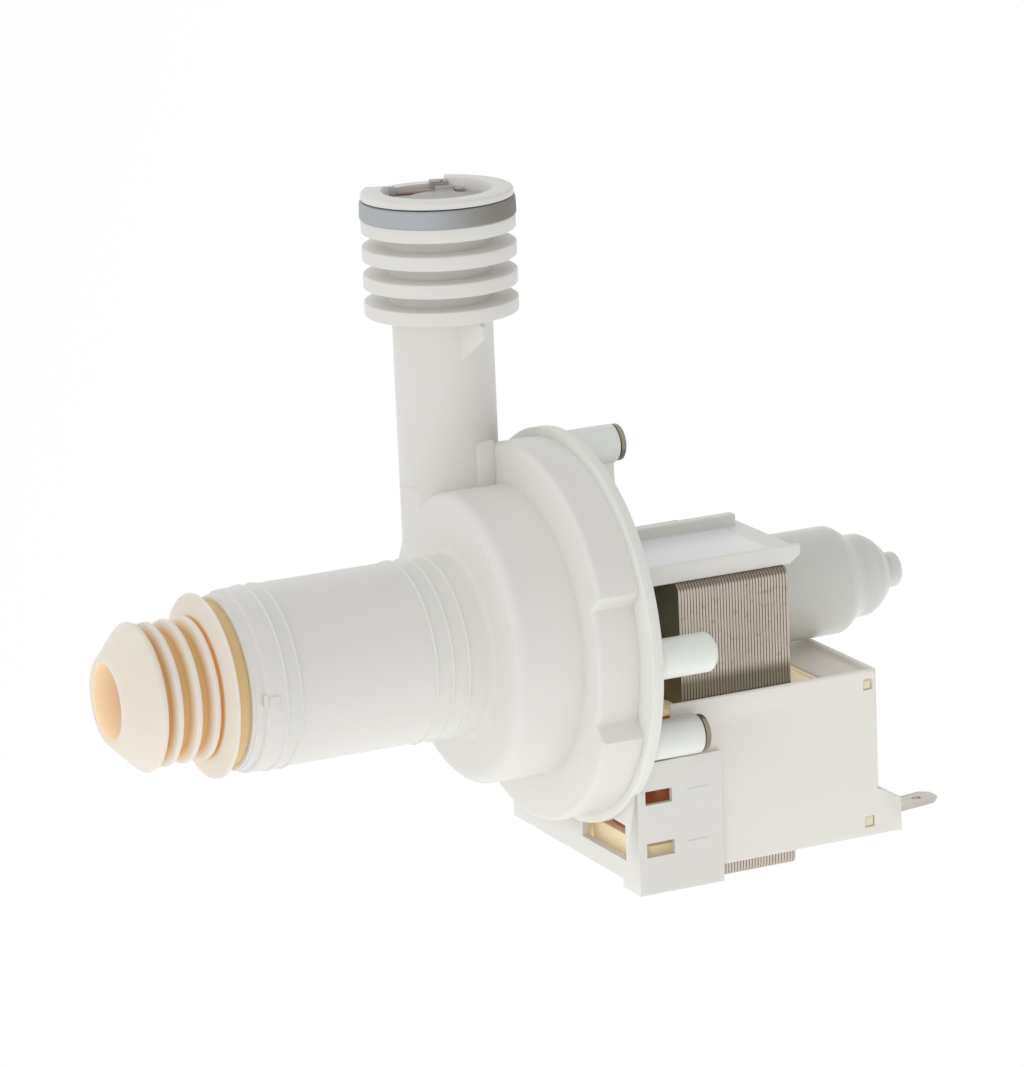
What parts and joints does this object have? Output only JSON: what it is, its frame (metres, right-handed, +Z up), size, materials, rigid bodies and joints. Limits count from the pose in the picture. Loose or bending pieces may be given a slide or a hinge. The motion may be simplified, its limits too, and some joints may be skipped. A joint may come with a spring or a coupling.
{
  "type": "dishwasher drain pump",
  "caption": "Centrifugal drain pump with a rubber bellows inlet, a ribbed upright outlet with a flap valve, and a shaded synchronous motor with a laminated core and coil box.",
  "frame": {"origin": "centre of the inlet mouth, on the pump's shaft axis", "axes": "+X along the shaft from the inlet to the motor's rear end, +Z up along the outlet pipe, +Y to the side away from the viewer"},
  "size_m": [0.1709, 0.0784, 0.1341],
  "materials": {
    "white_moulding": "satin",
    "milky_can": "translucent satin",
    "warm_cover": "satin",
    "cream_rubber": "matte",
    "grey_rubber": "matte",
    "black_rubber": "matte",
    "valve_plastic": "satin",
    "lamination_steel": "stamped edges",
    "zinc_screw": "zinc plated",
    "tinned_terminal": "tin plated",
    "copper_wire": "enamelled",
    "bobbin_plastic": "satin",
    "ferrite": "ground",
    "polished_shaft": "ground",
    "bearing_plastic": "graphite filled",
    "rotor_plastic": "matte",
    "label_stock": "plain, no print"
  },
  "bodies": {
    "housing": {"volute_housing": "white_moulding", "inlet_tube": "white_moulding", "outlet_pipe": "white_moulding", "inlet_bellows_seal": "cream_rubber", "outlet_seal_ring": "grey_rubber", "valve_seat": "valve_plastic", "valve_hinge_pin": "valve_plastic", "motor_flange": "white_moulding", "coil_bracket": "white_moulding", "housing_o_ring": "black_rubber", "can_o_ring": "black_rubber", "flange_screw_top": "zinc_screw", "flange_screw_near": "zinc_screw", "flange_screw_far": "zinc_screw", "rotor_can": "milky_can", "bearing_holder": "rotor_plastic", "front_bearing": "bearing_plastic", "rear_bearing": "bearing_plastic", "rear_bearing_grommet": "black_rubber", "pole_stack": "lamination_steel", "yoke_stack": "lamination_steel", "core_cap": "white_moulding", "blank_label": "label_stock", "bobbin_near": "bobbin_plastic", "bobbin_far": "bobbin_plastic", "winding_near": "copper_wire", "winding_far": "copper_wire", "coil_cover": "warm_cover", "terminal_carrier": "bobbin_plastic", "spade_terminal_near": "tinned_terminal", "spade_terminal_far": "tinned_terminal"},
    "rotor": {"rotor_shaft": "polished_shaft", "rotor_core": "rotor_plastic", "rotor_magnet": "ferrite", "drive_dog": "rotor_plastic", "impeller_clip": "zinc_screw"},
    "impeller": {"impeller": "rotor_plastic"},
    "valve": {"valve_flap": "valve_plastic"}
  },
  "joints": [
    {"name": "rotor_spin", "type": "hinge", "parent": "housing", "child": "rotor", "pos_m": [0.1204, 0, 0], "axis": [1, 0, 0], "continuous": true},
    {"name": "impeller_play", "type": "hinge", "parent": "rotor", "child": "impeller", "pos_m": [0.0829, 0, 0], "axis": [1, 0, 0], "range_deg": [-274, 2.5]},
    {"name": "valve_hinge", "type": "hinge", "parent": "housing", "child": "valve", "pos_m": [0.08385, 0.02569, 0.0837], "axis": [-0.9563, 0.2924, 0], "range_deg": [0, 75]}
  ]
}
